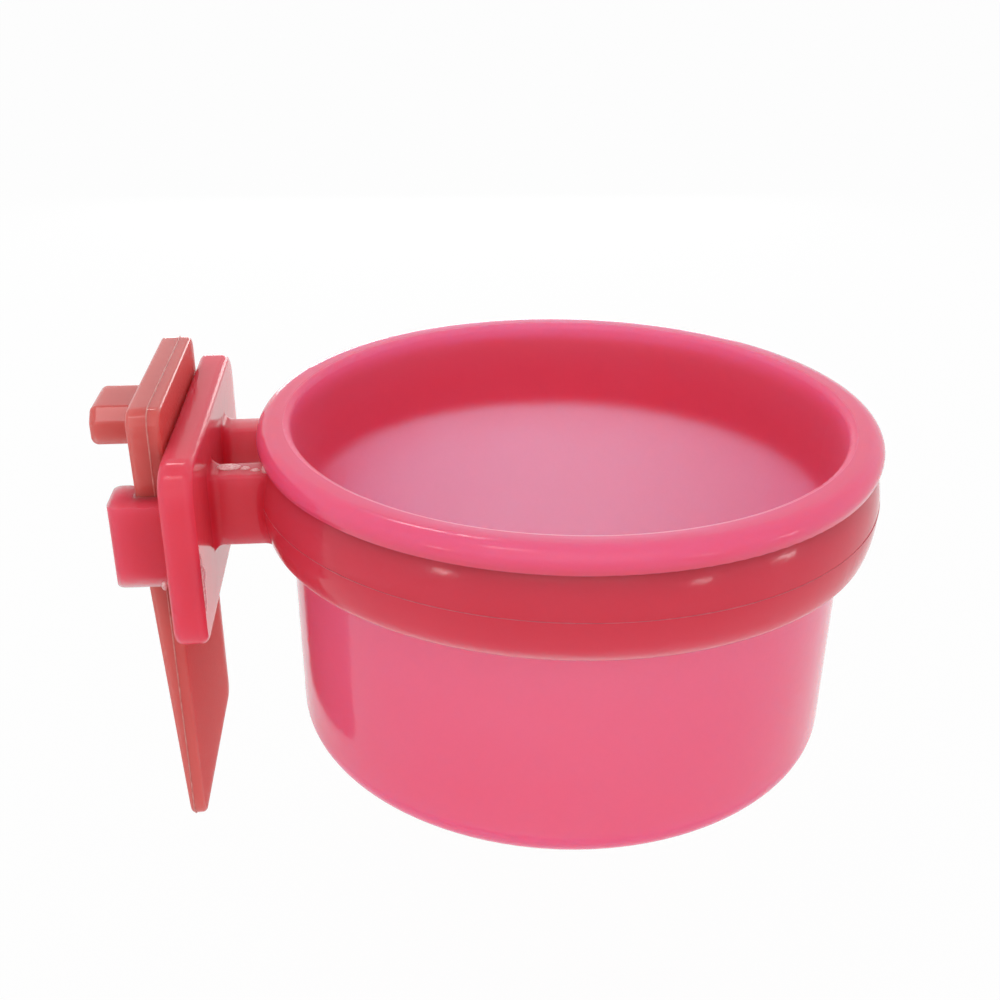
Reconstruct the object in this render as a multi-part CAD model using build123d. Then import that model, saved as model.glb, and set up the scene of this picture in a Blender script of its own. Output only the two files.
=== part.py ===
"""A seed cup for a cage: the cup drops into a ring, and a wedge locks the ring's holder to the bars."""
import math
import os

from build123d import *

# All sizes are millimetres and all angles are degrees.
# The origin is the centre of the clamp plate's bar side, +X points at the cup and +Z is up.

# Cup
shoulder_diameter = 87.7
wall_taper = 0.35
cup_height = 52.5
cup_wall = 2.0
cup_floor = 2.2
base_round = 3.8
floor_round = 2.0
rim_overhang = 4.3
rim_height = 3.7
rim_lean = 1.1
rim_round = 2.2
rim_edge_round = 0.3
mouth_round = 1.2
mouth_flare = 1.25
mouth_flare_depth = 6.5
mouth_flare_round = 25.0

# Ring of the holder, with its wall measured outwards from the bore that the cup drops into
ring_clearance = 0.4
ring_height = 12.6
ring_top_wall = 2.7
ring_waist_wall = 4.1
ring_foot_wall = 3.2
ring_edge_round = 0.7

# Neck of two ribs between the ring and the plate, level with the ring's foot
plate_to_rim_gap = 6.35
rib_spread = 23.2
rib_thickness = 5.0
rib_top_step = 1.1
rib_edge_round = 0.6
rib_blend_round = 1.2
rib_root_round = 1.4

# Clamp plate
plate_thickness = 4.7
plate_above_ring = 6.2
plate_below_ring = 9.0
plate_margin = 4.6
plate_head_round = 5.0
plate_foot_round = 3.0
plate_edge_round = 1.2

# Hooked guides on the plate's bar side
guide_below_plate_top = 7.1
guide_above_plate_foot = 8.3
guide_wall = 3.6
guide_corner_round = 1.6
lip_overlap = 4.2
lip_thickness = 3.15
lip_end_round = 1.2

# Wedge and its thumb tab
wedge_width = 36.0
wedge_length = 70.0
wedge_above_plate_top = 5.3
wedge_head_thickness = 4.7
wedge_waist_thickness = 4.35
wedge_tip_thickness = 2.3
wedge_corner_round = 2.6
wedge_edge_round = 0.6
wedge_draft = 2.5
wedge_parting_depth = 1.7
side_clearance = 0.3
wedge_face_clearance = 0.1
lip_clearance = 0.25
tab_width = 12.6
tab_height = 5.5
tab_reach = 7.9
tab_below_wedge_top = 3.9
tab_top_chamfer = 1.9
tab_edge_round = 0.6
tab_end_round = 1.2
tab_root_round = 0.9
back_lean_limit = 45

# Places that follow from the sizes
shoulder_radius = shoulder_diameter / 2
rim_radius = shoulder_radius + rim_overhang
ring_bore_radius = shoulder_radius + ring_clearance
cup_axis_x = plate_thickness + plate_to_rim_gap + rim_radius
plate_height = plate_above_ring + ring_height + plate_below_ring
plate_top_z = plate_height / 2
ring_top_z = plate_top_z - plate_above_ring
ring_foot_z = ring_top_z - ring_height
rim_top_z = ring_top_z + rim_height
guide_top_z = plate_top_z - guide_below_plate_top
guide_foot_z = guide_above_plate_foot - plate_top_z
guide_inner_y = wedge_width / 2 + side_clearance
guide_outer_y = guide_inner_y + guide_wall
plate_width = 2 * (guide_outer_y + plate_margin)
wedge_top_z = plate_top_z + wedge_above_plate_top
wedge_tip_z = wedge_top_z - wedge_length
wedge_face_x = -wedge_face_clearance


def rounded_outline(corners):
    """A closed flat face from (x, y, rounding) corners."""
    points = [(x, y) for x, y, _ in corners]
    roundings = [rounding for _, _, rounding in corners]
    return make_face(FilletPolyline(*points, radius=roundings, close=True))


def wedge_back_x(height):
    """Where the wedge's back lies at a height between its head and the foot of the guides."""
    share = (wedge_top_z - height) / (wedge_top_z - guide_foot_z)
    thickness = wedge_head_thickness + share * (wedge_waist_thickness - wedge_head_thickness)
    return wedge_face_x - thickness


def make_cup():
    """The cup hangs by its rim, whose underside sits on the ring, and its wall tapers a little to the base."""
    base_radius = shoulder_radius - wall_taper
    bore_radius = shoulder_radius - cup_wall
    floor_z = cup_floor - cup_height
    lean = math.atan2(rim_lean, rim_height)
    rim_corner_radius = rim_radius + rim_round * (math.tan(lean) + 1 / math.cos(lean) - 1)
    half_section = rounded_outline([
        (0, -cup_height, 0),
        (base_radius, -cup_height, base_round),
        (shoulder_radius, -rim_height, 0),
        (rim_corner_radius - rim_lean, -rim_height, rim_edge_round),
        (rim_corner_radius, 0, rim_round),
        (bore_radius + mouth_flare, 0, mouth_round),
        (bore_radius, -mouth_flare_depth, mouth_flare_round),
        (base_radius - cup_wall, floor_z, floor_round),
        (0, floor_z, 0),
    ])
    cup = revolve(Plane.XZ * half_section, Axis.Z)
    return Pos(cup_axis_x, 0, rim_top_z) * cup


def make_ring():
    """The ring's outer face swells in one arc to a parting line at half its height."""
    bore_top = (ring_bore_radius, 0)
    bore_foot = (ring_bore_radius, -ring_height)
    top = (ring_bore_radius + ring_top_wall, 0)
    waist = (ring_bore_radius + ring_waist_wall, -ring_height / 2)
    foot = (ring_bore_radius + ring_foot_wall, -ring_height)
    bore = Polyline(foot, bore_foot, bore_top, top)
    swell = ThreePointArc(top, waist, foot)
    ring = revolve(Plane.XZ * make_face(bore + swell), Axis.Z)
    return Pos(cup_axis_x, 0, ring_top_z) * ring


def make_plate():
    """The plate is a rounded rectangle whose edges are eased all round."""
    half_width = plate_width / 2
    outline = rounded_outline([
        (-half_width, plate_top_z, plate_head_round),
        (-half_width, -plate_top_z, plate_foot_round),
        (half_width, -plate_top_z, plate_foot_round),
        (half_width, plate_top_z, plate_head_round),
    ])
    plate = extrude(Plane.YZ * outline, plate_thickness)
    sides = plate.faces().sort_by(Axis.X)
    return fillet(sides[0].edges() + sides[-1].edges(), plate_edge_round)


def make_ribs():
    """Two upright ribs run from inside the plate to the bore of the ring."""
    top_z = ring_top_z - rib_top_step
    half_thickness = rib_thickness / 2
    section = rounded_outline([
        (-half_thickness, ring_foot_z, 0),
        (half_thickness, ring_foot_z, 0),
        (half_thickness, top_z, rib_edge_round),
        (-half_thickness, top_z, rib_edge_round),
    ])
    rib = extrude(Plane.YZ.offset(plate_thickness / 2) * section, cup_axis_x)
    rib_y = (rib_spread - rib_thickness) / 2
    bore = Pos(cup_axis_x, 0, 0) * Cylinder(ring_bore_radius, plate_height)
    return [Pos(0, side * rib_y, 0) * rib - bore for side in (-1, 1)]


def make_loop():
    """The ring with its two ribs blended in, and with its whole foot rounded."""
    ring = make_ring()
    ribs = make_ribs()
    loop = ring + ribs
    loop = fillet(new_edges(ring, *ribs, combined=loop), rib_blend_round)
    return fillet(loop.faces().sort_by(Axis.Z)[0].edges(), ring_edge_round)


def make_guide():
    """One hooked guide: a wall that stands off the plate and a lip that turns in behind the wedge."""
    lip_face_x = wedge_back_x(guide_top_z) - lip_clearance
    lip_back_x = lip_face_x - lip_thickness
    lip_end_y = guide_inner_y - lip_overlap
    root_x = plate_thickness / 2
    section = rounded_outline([
        (root_x, guide_inner_y, 0),
        (lip_face_x, guide_inner_y, 0),
        (lip_face_x, lip_end_y, lip_end_round),
        (lip_back_x, lip_end_y, lip_end_round),
        (lip_back_x, guide_outer_y, guide_corner_round),
        (root_x, guide_outer_y, 0),
    ])
    return Pos(0, 0, guide_foot_z) * extrude(section, guide_top_z - guide_foot_z)


def make_holder():
    """Ring, ribs, plate and guides are one moulding."""
    plate = make_plate()
    loop = make_loop()
    backed = plate + loop
    backed = fillet(new_edges(plate, loop, combined=backed), rib_root_round)
    guide = make_guide()
    return backed + [guide, mirror(guide, Plane.XZ)]


def make_wedge():
    """The wedge is a drafted slab cut to a tapered side, with a thumb tab on its back."""
    side = Polyline(
        (wedge_face_x, wedge_top_z),
        (wedge_face_x, wedge_tip_z),
        (wedge_face_x - wedge_tip_thickness, wedge_tip_z),
        (wedge_back_x(guide_foot_z), guide_foot_z),
        (wedge_back_x(wedge_top_z), wedge_top_z),
        close=True,
    )
    blade = extrude(Plane.XZ * make_face(side), wedge_width, both=True)
    parting = Plane.YZ.offset(wedge_face_x - wedge_parting_depth)
    front = RectangleRounded(wedge_width, wedge_length, wedge_corner_round)
    front = Pos(0, wedge_top_z - wedge_length / 2) * front
    halves = [extrude(parting * front, way * wedge_head_thickness, taper=wedge_draft) for way in (-1, 1)]
    body = blade & (halves[0] + halves[1])
    body = fillet(wedge_rims(body), wedge_edge_round)
    tab = make_tab(parting)
    wedge = body + tab
    return fillet(new_edges(body, tab, combined=wedge), tab_root_round)


def wedge_rims(body):
    """The edges round the wedge's face and round its back, without the crease across the back."""
    faces = body.faces().sort_by(Axis.X)
    back = [face for face in faces if face.normal_at().X < -math.cos(math.radians(back_lean_limit))]
    creases = back[0].edges() & back[1].edges()
    return faces[-1].edges() + (back[0].edges() + back[1].edges() - creases)


def make_tab(parting):
    """The thumb tab grows out of the wedge from the parting plane, with its upper edges chamfered."""
    top_z = wedge_top_z - tab_below_wedge_top
    end_x = wedge_back_x(top_z) - tab_reach
    section = Pos(0, top_z - tab_height / 2) * Rectangle(tab_width, tab_height)
    section = chamfer(section.vertices().group_by(Axis.Y)[-1], tab_top_chamfer)
    section = fillet(section.vertices(), tab_edge_round)
    tab = extrude(parting * section, end_x - parting.origin.X)
    return fillet(tab.faces().sort_by(Axis.X)[0].edges(), tab_end_round)


os.makedirs("parts", exist_ok=True)
export_step(make_cup(), "parts/cup.step")
export_step(make_holder(), "parts/holder.step")
export_step(make_wedge(), "parts/wedge.step")
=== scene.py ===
# %% [markdown]
# A seed cup for a cage, in three mouldings. The cup drops into the ring of a holder, and a wedge slides
# down behind the holder's plate to lock it to the cage bars. All three are polypropylene that is dyed in
# the melt, so light goes some way into them. Their shapes could be modelled again here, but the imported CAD
# model has them to size, so it is loaded. The lesson gives the pieces their plastic, adds the small marks
# that a mould leaves, and sets up the studio.

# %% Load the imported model
import math

import bpy
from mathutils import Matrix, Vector


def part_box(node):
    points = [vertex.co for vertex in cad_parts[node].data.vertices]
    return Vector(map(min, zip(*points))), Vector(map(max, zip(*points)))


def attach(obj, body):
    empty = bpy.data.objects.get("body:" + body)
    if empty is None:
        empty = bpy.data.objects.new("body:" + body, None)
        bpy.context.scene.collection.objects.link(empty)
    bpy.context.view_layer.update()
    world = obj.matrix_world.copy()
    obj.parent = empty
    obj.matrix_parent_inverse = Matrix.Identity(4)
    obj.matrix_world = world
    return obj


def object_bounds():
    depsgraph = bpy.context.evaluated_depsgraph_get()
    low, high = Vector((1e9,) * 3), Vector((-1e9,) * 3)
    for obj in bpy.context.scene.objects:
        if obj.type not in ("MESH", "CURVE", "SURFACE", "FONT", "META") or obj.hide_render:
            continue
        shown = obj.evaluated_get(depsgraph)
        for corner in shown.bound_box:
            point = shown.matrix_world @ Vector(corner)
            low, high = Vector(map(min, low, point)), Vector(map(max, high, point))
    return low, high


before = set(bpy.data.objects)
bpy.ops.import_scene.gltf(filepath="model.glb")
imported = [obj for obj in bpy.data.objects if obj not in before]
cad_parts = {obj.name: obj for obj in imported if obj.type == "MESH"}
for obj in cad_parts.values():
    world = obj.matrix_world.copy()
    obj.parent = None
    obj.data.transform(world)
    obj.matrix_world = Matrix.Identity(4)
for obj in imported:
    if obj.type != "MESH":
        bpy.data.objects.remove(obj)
cad_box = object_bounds()
MM = 0.001

# %% [markdown]
# Colours are written as the hex values that a paint program shows, and the shader works in linear light, so
# one function turns them. Nodes could be added one call at a time. A small function that adds a node, sets
# it up and links it keeps each material to a few lines, so every material below is built with it.

# %% Colour and node helpers
# A Mix node has sockets for several kinds of data, and these are the places of those that are used here.
NUMBER_A, NUMBER_B, NUMBER_OUT = 2, 3, 0
COLOUR_A, COLOUR_B, COLOUR_OUT = 6, 7, 2


def linear(hex_colour):
    """The linear RGBA of an sRGB hex colour."""
    channels = [int(hex_colour[i:i + 2], 16) / 255 for i in (1, 3, 5)]
    return [c / 12.92 if c <= 0.04045 else ((c + 0.055) / 1.055) ** 2.4 for c in channels] + [1.0]


def add_node(tree, kind, settings=None, values=None, links=None):
    """Adds a node, gives it its settings and socket values, and links its inputs from other sockets."""
    node = tree.nodes.new(kind)
    for name, value in (settings or {}).items():
        setattr(node, name, value)
    for name, value in (values or {}).items():
        node.inputs[name].default_value = value
    for name, source in (links or {}).items():
        tree.links.new(source, node.inputs[name])
    return node


def empty_material(name):
    """A new material whose node tree is still empty."""
    material = bpy.data.materials.new(name)
    material.use_nodes = True
    material.node_tree.nodes.clear()
    return material


print("pure white is", linear("#ffffff"))

# %% [markdown]
# Moulded polypropylene has a smooth skin from the polished mould, with a very slight waviness where it
# shrank as it cooled. Its colour is cloudy rather than even, because the dye flows with the melt. A plain
# glossy colour would look like paint, so light walks below the surface here. Red light turns back after a
# short way and gives every piece its colour. Green and blue light go further, so the cup's thin wall is
# pale pink where light stands behind it and deep red where the ring does.

# %% Moulded polypropylene
POLYPROPYLENE_IOR = 1.49
CLOUD_MM = 16.0
WAVE_MM = 5.0
WAVE_HEIGHT_MM = 0.06
POLISH_SPREAD = 0.03


def moulded_plastic(name, pale, deep, shine, roughness, reach_mm):
    """Translucent dyed polypropylene: cloudy colour, and a skin that isn't quite flat."""
    material = empty_material(name)
    tree = material.node_tree
    place = add_node(tree, "ShaderNodeTexCoord").outputs["Object"]
    clouds = add_node(tree, "ShaderNodeTexNoise", values={
        "Scale": 1 / (CLOUD_MM * MM), "Detail": 2.0, "Roughness": 0.5}, links={"Vector": place})
    colour = add_node(tree, "ShaderNodeMix", {"data_type": "RGBA"}, {
        COLOUR_A: linear(deep), COLOUR_B: linear(pale)}, {"Factor": clouds.outputs["Fac"]})
    waves = add_node(tree, "ShaderNodeTexNoise", values={
        "Scale": 1 / (WAVE_MM * MM), "Detail": 3.0, "Roughness": 0.6}, links={"Vector": place})
    skin = add_node(tree, "ShaderNodeBump", values={"Strength": 1.0, "Distance": WAVE_HEIGHT_MM * MM},
                    links={"Height": waves.outputs["Fac"]})
    polish = add_node(tree, "ShaderNodeMapRange", values={
        "To Min": roughness - POLISH_SPREAD, "To Max": roughness + POLISH_SPREAD},
        links={"Value": waves.outputs["Fac"]})
    plastic = add_node(tree, "ShaderNodeBsdfPrincipled", {"subsurface_method": "RANDOM_WALK"}, {
        "IOR": POLYPROPYLENE_IOR,
        "Specular IOR Level": shine,
        "Subsurface Weight": 1.0,
        "Subsurface Scale": MM,
        "Subsurface Radius": reach_mm,
    }, {
        "Base Color": colour.outputs[COLOUR_OUT],
        "Roughness": polish.outputs["Result"],
        "Normal": skin.outputs["Normal"],
    })
    add_node(tree, "ShaderNodeOutputMaterial", links={"Surface": plastic.outputs["BSDF"]})
    print(name, "made with", len(tree.nodes), "nodes")
    return material


# %% [markdown]
# The three mouldings are of the same plastic, but they don't look the same in the photograph. One material
# with three colours would miss that they also differ in gloss and in how far light goes into them, so each
# moulding gets a material of its own. The reach of the light is given for red, green and blue.

# %% Plastic of the cup, the holder and the wedge
# The cup is the most translucent of the three, pink and glossy.
cup_plastic = moulded_plastic(
    "cup_polypropylene", "#fd577b", "#fb5276", shine=0.3, roughness=0.12, reach_mm=(4.0, 18.5, 22.0))
# The holder is thicker, so it is a deep red, and its gloss is softer.
holder_plastic = moulded_plastic(
    "holder_polypropylene", "#e74557", "#e34052", shine=0.2, roughness=0.13, reach_mm=(12.0, 20.0, 20.0))
# The wedge has a browner dye and the finest polish.
wedge_plastic = moulded_plastic(
    "wedge_polypropylene", "#cd5753", "#c9514d", shine=0.3, roughness=0.07, reach_mm=(10.0, 16.0, 16.0))
for node, plastic in (("cup", cup_plastic), ("holder", holder_plastic), ("wedge", wedge_plastic)):
    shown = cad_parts[node]
    shown.data.materials.clear()
    shown.data.materials.append(plastic)
    print(node, "is made of", plastic.name)

# %% [markdown]
# The outside of the cup is formed by a polished cavity and the inside by a core, which is left less fine so
# that the cup comes off it easily. In the photograph the inside shows no mirror image of the lamps. The
# inner faces could be given a second material, but then the polish would end in a hard line. So the shader
# finds the inside by its distance from the cup's axis, and it leaves out what faces down, which is the
# base. The mouth's rounding lies further out, and it is found by its turning towards the axis.

# %% Matte inside of the cup
INSIDE_RADIUS = 42.9 * MM
INSIDE_BLEND = 0.5 * MM
BASE_SLOPE = -0.1
CORE_ROUGHNESS = 0.5
FLATTEN = (1, 1, 0)
# How far a face looks outwards, times its radius. Between these the mouth goes from polished to matte.
MOUTH_POLISHED, MOUTH_MATTE = -1 * MM, -8 * MM


def shader_of(material):
    """The Principled shader of a material."""
    return next(node for node in material.node_tree.nodes if node.type == "BSDF_PRINCIPLED")


def matte_inside(material, axis):
    """Roughens what lies near the axis or turns towards it, apart from the base."""
    tree = material.node_tree
    shader = shader_of(material)
    polish = shader.inputs["Roughness"].links[0].from_socket
    place = add_node(tree, "ShaderNodeTexCoord").outputs
    from_axis = add_node(tree, "ShaderNodeVectorMath", {"operation": "SUBTRACT"}, {1: axis},
                         {0: place["Object"]})
    level = add_node(tree, "ShaderNodeVectorMath", {"operation": "MULTIPLY"}, {1: FLATTEN},
                     {0: from_axis.outputs[0]})
    radius = add_node(tree, "ShaderNodeVectorMath", {"operation": "LENGTH"}, links={0: level.outputs[0]})
    within = add_node(tree, "ShaderNodeMapRange", values={
        "From Min": INSIDE_RADIUS, "From Max": INSIDE_RADIUS - INSIDE_BLEND},
        links={"Value": radius.outputs["Value"]})
    facing = add_node(tree, "ShaderNodeSeparateXYZ", links={"Vector": place["Normal"]})
    not_base = add_node(tree, "ShaderNodeMath", {"operation": "GREATER_THAN"}, {1: BASE_SLOPE},
                        {0: facing.outputs["Z"]})
    hollow = add_node(tree, "ShaderNodeMath", {"operation": "MULTIPLY"}, links={
        0: within.outputs[0], 1: not_base.outputs[0]})
    outward = add_node(tree, "ShaderNodeVectorMath", {"operation": "DOT_PRODUCT"}, links={
        0: level.outputs[0], 1: place["Normal"]})
    mouth = add_node(tree, "ShaderNodeMapRange", values={"From Min": MOUTH_POLISHED, "From Max": MOUTH_MATTE},
                     links={"Value": outward.outputs["Value"]})
    inside = add_node(tree, "ShaderNodeMath", {"operation": "MAXIMUM"}, links={
        0: hollow.outputs[0], 1: mouth.outputs["Result"]})
    matte = add_node(tree, "ShaderNodeMix", {"data_type": "FLOAT"}, {NUMBER_B: CORE_ROUGHNESS}, {
        "Factor": inside.outputs[0], NUMBER_A: polish})
    tree.links.new(matte.outputs[NUMBER_OUT], shader.inputs["Roughness"])


holder_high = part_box("holder")[1]
RING_RADIUS = holder_high[1]
cup_axis = Vector((holder_high[0] - RING_RADIUS, 0, 0))
matte_inside(cup_plastic, cup_axis)
print("the cup's axis is", round(cup_axis.x / MM, 1), "mm from the plate's bar side")

# %% [markdown]
# The wedge's front face takes the cage bars, and its half of the mould is spark eroded to a fine grain so
# that the face grips. At a glancing angle it stays dull and deep red, where the plate's polished face shines.
# The grain could be modelled, but it is far too fine for a mesh, so it is a bump. Its base colour is also
# made a deeper red, which is painted shade that darkens the pale sheen the face would show at that angle.
# All this is switched on by the direction that the surface faces, and the rest of the wedge keeps its polish.

# %% Grained face of the wedge, with painted shade
# The real grain is about a tenth of this size, which wouldn't show in the render.
GRAIN_MM = 0.5
GRAIN_HEIGHT_MM = 0.12
GRAIN_ROUGHNESS = 0.6
# Painted shade: the grained face's colour turns to this deeper red to darken its sheen at a glancing angle.
GRAIN_PAINTED_SHADE_RED = "#d03f3d"
# How squarely a face looks towards +X where the grain begins and where it is whole.
GRAIN_BEGINS, GRAIN_WHOLE = 0.9, 0.99


def grained_front_and_painted_shade(material):
    """Makes the front of the wedge dull and grained, and paints shade on it as a deeper red."""
    tree = material.node_tree
    shader = shader_of(material)
    red, polish, waviness = [
        shader.inputs[name].links[0].from_socket for name in ("Base Color", "Roughness", "Normal")]
    place = add_node(tree, "ShaderNodeTexCoord").outputs
    facing = add_node(tree, "ShaderNodeSeparateXYZ", links={"Vector": place["Normal"]})
    front = add_node(tree, "ShaderNodeMapRange", values={"From Min": GRAIN_BEGINS, "From Max": GRAIN_WHOLE},
                     links={"Value": facing.outputs["X"]}).outputs["Result"]
    grain = add_node(tree, "ShaderNodeTexNoise", values={"Scale": 1 / (GRAIN_MM * MM), "Detail": 2.0},
                     links={"Vector": place["Object"]})
    rough_face = add_node(tree, "ShaderNodeBump", values={"Distance": GRAIN_HEIGHT_MM * MM}, links={
        "Strength": front, "Height": grain.outputs["Fac"], "Normal": waviness})
    dull = add_node(tree, "ShaderNodeMix", {"data_type": "FLOAT"}, {NUMBER_B: GRAIN_ROUGHNESS}, {
        "Factor": front, NUMBER_A: polish})
    # Painted shade: a deeper red on the grained face that stands in for a duller sheen.
    painted_shade_red = add_node(tree, "ShaderNodeMix", {"data_type": "RGBA"}, {COLOUR_B: linear(GRAIN_PAINTED_SHADE_RED)}, {
        "Factor": front, COLOUR_A: red})
    tree.links.new(painted_shade_red.outputs[COLOUR_OUT], shader.inputs["Base Color"])
    tree.links.new(dull.outputs[NUMBER_OUT], shader.inputs["Roughness"])
    tree.links.new(rough_face.outputs["Normal"], shader.inputs["Normal"])


grained_front_and_painted_shade(wedge_plastic)
print("the wedge's face has a grain of", GRAIN_MM, "mm")

# %% [markdown]
# The two halves of a mould never close quite tight, so a hair of plastic creeps into the joint. Such flash
# is too thin to hold any depth of colour: it looks paler than the piece that it sits on, and where it was
# torn it turns white, because the stretched skin is full of tiny cracks that scatter light. The moulded
# plastic's walk of light turns dark in so thin a tube, so flash has a plain colour that fine noise whitens.

# %% Thin polypropylene
FLASH_ROUGHNESS = 0.4
CRACK_HEIGHT_MM = 0.05
CRACK_MM = 1.5
TORN_CRACK_MM = 0.35


def thin_plastic(name, pale, deep, crack_mm):
    """Flash or torn polypropylene: paler where fine cracks scatter the light, and without a polish."""
    material = empty_material(name)
    tree = material.node_tree
    place = add_node(tree, "ShaderNodeTexCoord").outputs["Object"]
    cracks = add_node(tree, "ShaderNodeTexNoise", values={"Scale": 1 / (crack_mm * MM), "Detail": 4.0},
                      links={"Vector": place})
    whiteness = add_node(tree, "ShaderNodeMapRange", values={"From Min": 0.35, "From Max": 0.65},
                         links={"Value": cracks.outputs["Fac"]})
    colour = add_node(tree, "ShaderNodeMix", {"data_type": "RGBA"}, {
        COLOUR_A: linear(deep), COLOUR_B: linear(pale)}, {"Factor": whiteness.outputs["Result"]})
    crazed = add_node(tree, "ShaderNodeBump", values={"Strength": 0.6, "Distance": CRACK_HEIGHT_MM * MM},
                      links={"Height": cracks.outputs["Fac"]})
    plastic = add_node(tree, "ShaderNodeBsdfPrincipled", values={
        "IOR": POLYPROPYLENE_IOR, "Roughness": FLASH_ROUGHNESS}, links={
        "Base Color": colour.outputs[COLOUR_OUT], "Normal": crazed.outputs["Normal"]})
    add_node(tree, "ShaderNodeOutputMaterial", links={"Surface": plastic.outputs["BSDF"]})
    print(name, "made with", len(tree.nodes), "nodes")
    return material


wedge_flash = thin_plastic("wedge_flash_polypropylene", "#dc938c", "#c8645f", CRACK_MM)
ring_flash = thin_plastic("ring_flash_polypropylene", "#d8606f", "#c84656", CRACK_MM)
torn_plastic = thin_plastic("torn_polypropylene", "#f8d4d2", "#e08a92", TORN_CRACK_MM)

# %% [markdown]
# The mould's joint leaves a fine raised line. Round the wedge it runs along the widest outline, and in the
# photograph it catches the light on the wedge's top and near side. A bump would have no edge to catch it,
# so the line is a mesh: a plane is sized to the outline, its corners are rounded, and its border becomes a
# thin tube.

# %% Parting line of the wedge
PARTING_DEPTH = 1.7 * MM
CORNER_ROUND = 2.6 * MM
CORNER_STEPS = 8
WEDGE_LINE_RADIUS = 0.11 * MM
WEDGE_LINE_ROUNDNESS = 2


def finish_piece(piece, plastic, body):
    """Gives a piece its plastic and the body that it moves with."""
    piece.data.materials.clear()
    piece.data.materials.append(plastic)
    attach(piece, body)
    print(piece.name, "has", len(piece.data.polygons), "faces and rides on", body)


wedge_low, wedge_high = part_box("wedge")
bpy.ops.object.select_all(action="DESELECT")
bpy.ops.mesh.primitive_plane_add(size=1)
line = bpy.context.object
line.name = "wedge_parting_line"
bpy.ops.object.mode_set(mode="EDIT")
bpy.ops.mesh.select_all(action="SELECT")
bpy.ops.transform.resize(value=(wedge_high[2] - wedge_low[2], wedge_high[1] - wedge_low[1], 1))
bpy.ops.mesh.bevel(offset=CORNER_ROUND, segments=CORNER_STEPS, affect="VERTICES")
bpy.ops.transform.rotate(value=math.pi / 2, orient_axis="Y", center_override=(0, 0, 0))
bpy.ops.transform.translate(value=(wedge_high[0] - PARTING_DEPTH, 0, (wedge_high[2] + wedge_low[2]) / 2))
bpy.ops.mesh.delete(type="ONLY_FACE")
bpy.ops.object.mode_set(mode="OBJECT")
bpy.ops.object.convert(target="CURVE")
line.data.bevel_depth = WEDGE_LINE_RADIUS
line.data.bevel_resolution = WEDGE_LINE_ROUNDNESS
bpy.ops.object.convert(target="MESH")
bpy.ops.object.shade_smooth()
finish_piece(line, wedge_flash, "wedge")

# %% [markdown]
# The ring's mould parts at the ring's widest height. Its line is fainter and uneven, because the joint is
# worn more in some places than in others. An even tube would look drawn on, so a thin torus follows the
# ring and a cloud texture swells and sinks it.

# %% Parting line of the ring
RING_WAIST_Z = 1.4 * MM
RING_LINE_RADIUS = 0.06 * MM
RING_STEPS = 256
RING_LINE_SIDES = 8
WEAR_SPACING = 8 * MM
WEAR_HEIGHT = 0.1 * MM
bpy.ops.object.select_all(action="DESELECT")
bpy.ops.mesh.primitive_torus_add(major_segments=RING_STEPS, minor_segments=RING_LINE_SIDES,
                                 major_radius=RING_RADIUS, minor_radius=RING_LINE_RADIUS)
bead = bpy.context.object
bead.name = "ring_parting_line"
bpy.ops.object.mode_set(mode="EDIT")
bpy.ops.mesh.select_all(action="SELECT")
bpy.ops.transform.translate(value=(cup_axis.x, 0, RING_WAIST_Z))
bpy.ops.object.mode_set(mode="OBJECT")
wear = bpy.data.textures.new("mould_wear", "CLOUDS")
wear.noise_scale = WEAR_SPACING
swell = bead.modifiers.new("wear", "DISPLACE")
swell.texture = wear
swell.strength = WEAR_HEIGHT
bpy.ops.object.modifier_apply(modifier=swell.name)
bpy.ops.object.shade_smooth()
finish_piece(bead, ring_flash, "holder")

# %% [markdown]
# Where plastic was twisted off or trimmed, small white bits stay behind, with a torn and uneven skin. They
# could be sculpted one by one, but most are only a millimetre or two long. Small balls that are pressed to
# size, joined and roughened by a cloud texture give the same look, and one function makes all of them.

# %% Torn bits
# A ball of diameter 1 is pressed to its size in one step, and its ripples are half as high as they are wide.
BALL_RADIUS = 0.5
BALL_STEPS = 4
RIPPLE_SHARE = 0.5


def torn_bits(name, bits, ripple_mm):
    """Small balls at (place, size) in mm, each pressed to its size, joined and roughened into torn bits."""
    balls = []
    for place, size in bits:
        bpy.ops.mesh.primitive_ico_sphere_add(subdivisions=BALL_STEPS, radius=BALL_RADIUS)
        balls.append(bpy.context.object)
        bpy.ops.object.mode_set(mode="EDIT")
        bpy.ops.mesh.select_all(action="SELECT")
        bpy.ops.transform.resize(value=[length * MM for length in size])
        bpy.ops.transform.translate(value=[length * MM for length in place])
        bpy.ops.object.mode_set(mode="OBJECT")
    bpy.ops.object.select_all(action="DESELECT")
    for ball in balls:
        ball.select_set(True)
    bpy.context.view_layer.objects.active = balls[0]
    if len(balls) > 1:
        bpy.ops.object.join()
    piece = bpy.context.object
    piece.name = name
    ripple = bpy.data.textures.new(name, "CLOUDS")
    ripple.noise_scale = ripple_mm * MM
    rough = piece.modifiers.new("ripple", "DISPLACE")
    rough.texture = ripple
    rough.strength = RIPPLE_SHARE * ripple_mm * MM
    bpy.ops.object.modifier_apply(modifier=rough.name)
    bpy.ops.object.shade_smooth()
    print("bits in", name, "-", len(bits))
    return piece
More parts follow.
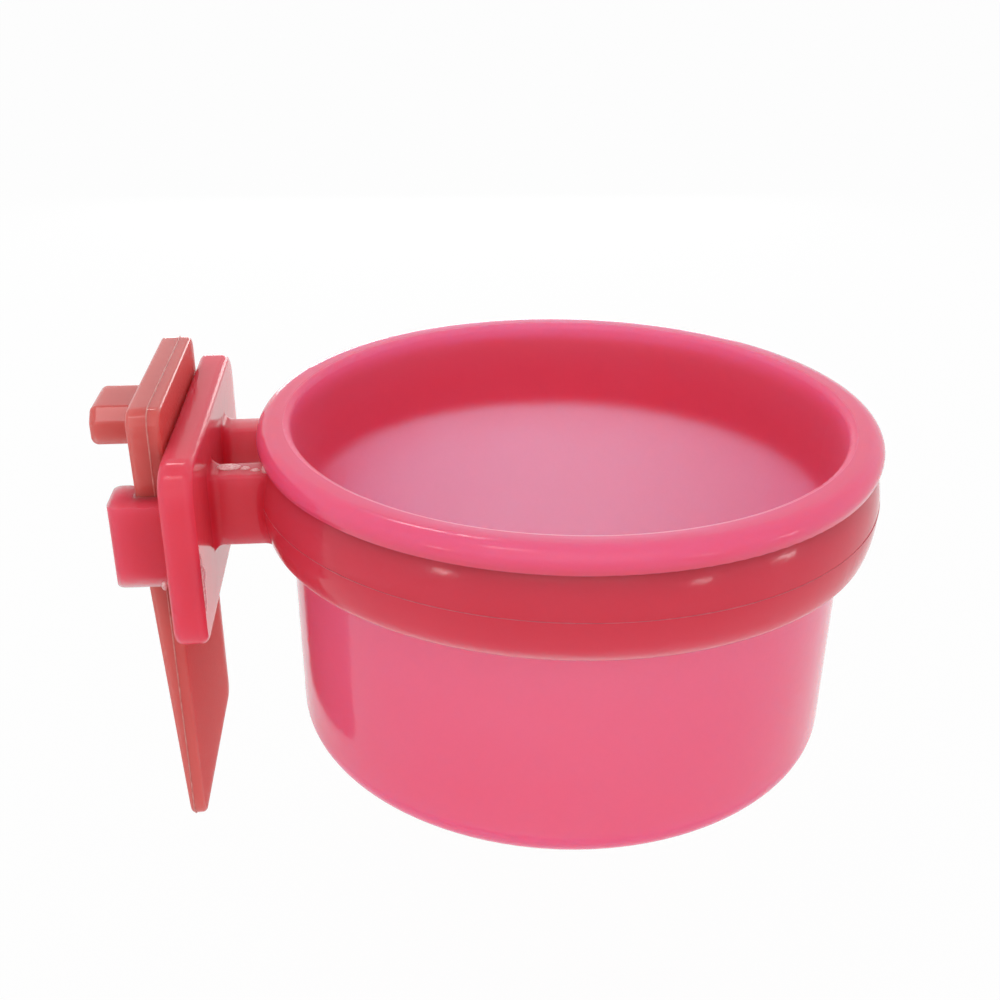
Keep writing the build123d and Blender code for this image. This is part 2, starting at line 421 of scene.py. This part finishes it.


# %% [markdown]
# The holder was twisted off its gate on top of the near rib, and that left three bits in a row. A sliver of
# flash with a bulge stands on the plate's face, and one bit sits at the foot of the near guide. The cup's
# rim has a single small spur above the rib. They are placed one by one, as they lie in the photograph, on
# the faces of the CAD model.

# %% Gate scar, flash and spur
RIB_TOP_MM = 6.6
PLATE_FACE_MM = 4.7
GUIDE_SIDE_MM = -21.9
gate = torn_bits("gate_scar", [
    ((7.4, -8.4, RIB_TOP_MM), (3.6, 2.2, 0.7)),
    ((9.9, -9.0, RIB_TOP_MM), (1.5, 1.1, 0.5)),
    ((11.4, -9.8, RIB_TOP_MM), (1.4, 0.9, 0.45)),
], ripple_mm=0.5)
finish_piece(gate, torn_plastic, "holder")
flash = torn_bits("plate_flash", [
    ((PLATE_FACE_MM, -25.0, -3.6), (0.5, 0.7, 9.0)),
    ((PLATE_FACE_MM, -24.6, -2.4), (0.8, 1.3, 2.2)),
    ((-1.2, GUIDE_SIDE_MM, -5.5), (0.8, 0.7, 1.5)),
], ripple_mm=0.35)
finish_piece(flash, torn_plastic, "holder")
spur = torn_bits("rim_spur", [((13.1, -12.5, 7.9), (0.9, 0.8, 1.3))], ripple_mm=0.3)
finish_piece(spur, torn_plastic, "cup")

# %% [markdown]
# The cup hangs in the air in the photograph's white studio, so the floor lies a little below the wedge's
# tip. Paper that is lit until it is white would light the object too strongly from below. So the rays that
# show the floor straight, or mirrored, or through glass, see white paper, and it still takes a soft shadow.

# %% Floor
FLOOR_DROP = 60 * MM
FLOOR_SIZE = 12
PAPER_GLOW = 0.96


def showing_rays(tree):
    """1 for the rays that show the background: from the camera, from a gloss or through something clear."""
    path = add_node(tree, "ShaderNodeLightPath").outputs
    straight = add_node(tree, "ShaderNodeMath", {"operation": "MAXIMUM"}, links={
        0: path["Is Camera Ray"], 1: path["Is Glossy Ray"]})
    showing = add_node(tree, "ShaderNodeMath", {"operation": "MAXIMUM"}, links={
        0: straight.outputs[0], 1: path["Is Transmission Ray"]})
    return showing.outputs[0]


def white_paper():
    """Floor paper that looks white to the camera and lights the object from below as plain paper does."""
    material = empty_material("white_paper")
    tree = material.node_tree
    paper = add_node(tree, "ShaderNodeBsdfDiffuse", values={"Color": linear("#f0f0f0")})
    glow = add_node(tree, "ShaderNodeEmission", values={"Color": linear("#ffffff"), "Strength": 1.0})
    share = add_node(tree, "ShaderNodeMath", {"operation": "MULTIPLY"}, {1: PAPER_GLOW},
                     {0: showing_rays(tree)})
    mixed = add_node(tree, "ShaderNodeMixShader", links={
        0: share.outputs[0], 1: paper.outputs[0], 2: glow.outputs[0]})
    add_node(tree, "ShaderNodeOutputMaterial", links={"Surface": mixed.outputs[0]})
    return material


floor_z = cad_box[0][2] - FLOOR_DROP
bpy.ops.object.select_all(action="DESELECT")
bpy.ops.mesh.primitive_plane_add(size=FLOOR_SIZE, location=(0, 0, floor_z))
floor = bpy.context.object
floor.name = "floor"
floor.data.materials.append(white_paper())
print("floor at", round(floor_z / MM, 1), "mm")

# %% [markdown]
# The backdrop is plain white too. A white world would also light the object from all sides and flatten it,
# so the world is white only for the rays that show it, and the light that it gives is weaker.

# %% World
AMBIENT = 0.62
BACKDROP = 1.0
world = bpy.data.worlds.new("studio")
bpy.context.scene.world = world
world.use_nodes = True
sky = world.node_tree
sky.nodes.clear()
ambient = add_node(sky, "ShaderNodeBackground", values={"Color": linear("#ffffff"), "Strength": AMBIENT})
backdrop = add_node(sky, "ShaderNodeBackground", values={"Color": linear("#ffffff"), "Strength": BACKDROP})
choice = add_node(sky, "ShaderNodeMixShader", links={
    0: showing_rays(sky), 1: ambient.outputs[0], 2: backdrop.outputs[0]})
add_node(sky, "ShaderNodeOutputWorld", links={"Surface": choice.outputs[0]})
print("the world gives", AMBIENT, "of the light that it shows")

# %% [markdown]
# A big softbox above the camera gives the even light on the walls, and one behind the cup makes the thin
# back wall glow. The small lamps could be placed by trial, but the photograph's highlights say where they
# stand: the direction of sight is mirrored at the surface, and the lamp lies where the mirrored line
# points. The left, right and far right ones show on the ring, the high one on the tab's chamfer, and the
# top one draws the long streak on the rim.

# %% Softboxes
MIDDLE = Vector((50 * MM, 0, -10 * MM))


def softbox(name, azimuth, elevation, distance, width, height, watts):
    """An area lamp that faces the cup's middle. Angles are in degrees and lengths in metres."""
    a, e = math.radians(azimuth), math.radians(elevation)
    away = Vector((math.sin(a) * math.cos(e), -math.cos(a) * math.cos(e), math.sin(e)))
    lamp = bpy.data.lights.new(name, "AREA")
    lamp.shape = "RECTANGLE"
    lamp.size = width
    lamp.size_y = height
    lamp.energy = watts
    stand = bpy.data.objects.new(name, lamp)
    stand.location = MIDDLE + away * distance
    stand.rotation_euler = away.to_track_quat("Z", "Y").to_euler()
    stand.visible_camera = False
    bpy.context.scene.collection.objects.link(stand)
    print(name, "gives", watts, "W from", azimuth, "and", elevation, "degrees")


softbox("front_softbox", azimuth=-5, elevation=36, distance=0.9, width=0.9, height=0.9, watts=1.7)
softbox("back_softbox", azimuth=178, elevation=3, distance=0.75, width=0.5, height=0.2, watts=0.9)
softbox("left_lamp", azimuth=-47, elevation=5, distance=0.7, width=0.08, height=0.025, watts=0.15)
softbox("right_lamp", azimuth=37, elevation=2, distance=0.7, width=0.08, height=0.025, watts=0.11)
softbox("far_right_lamp", azimuth=68, elevation=0, distance=0.7, width=0.08, height=0.02, watts=0.1)
softbox("high_lamp", azimuth=-40, elevation=64, distance=0.74, width=0.14, height=0.14, watts=0.3)
softbox("top_lamp", azimuth=-165, elevation=55, distance=0.7, width=0.18, height=0.08, watts=0.45)

# %% [markdown]
# The camera could be turned by eye until the picture fits. A fit of the rim, ring and base circles finds
# its place better: it stands near the cup and about 26 degrees above it. Its lens is worked out for a
# square picture on a 36 mm sensor.

# %% Camera
CAMERA_PLACE_MM = (31.69, -177.75, 81.21)
CAMERA_TURN = (64.404, -0.383, -5.270)
LENS_MM = 44.21
SENSOR_MM = 36
NEAREST_SEEN = 10 * MM
camera_data = bpy.data.cameras.new("camera")
camera_data.sensor_width = SENSOR_MM
camera_data.lens = LENS_MM
camera_data.clip_start = NEAREST_SEEN
camera = bpy.data.objects.new("camera", camera_data)
camera.location = [length * MM for length in CAMERA_PLACE_MM]
camera.rotation_euler = [math.radians(angle) for angle in CAMERA_TURN]
bpy.context.scene.collection.objects.link(camera)
bpy.context.scene.camera = camera
bpy.context.scene.view_settings.view_transform = "Standard"
print("the camera is", round((camera.location - MIDDLE).length / MM), "mm from the cup's middle")

# %% [markdown]
# The mould marks may stand out from the CAD model by a few tenths of a millimetre and no more.

# %% Sizes and the end
print("the CAD model is", [round((high - low) / MM, 1) for low, high in zip(*cad_box)], "mm in X, Y and Z")
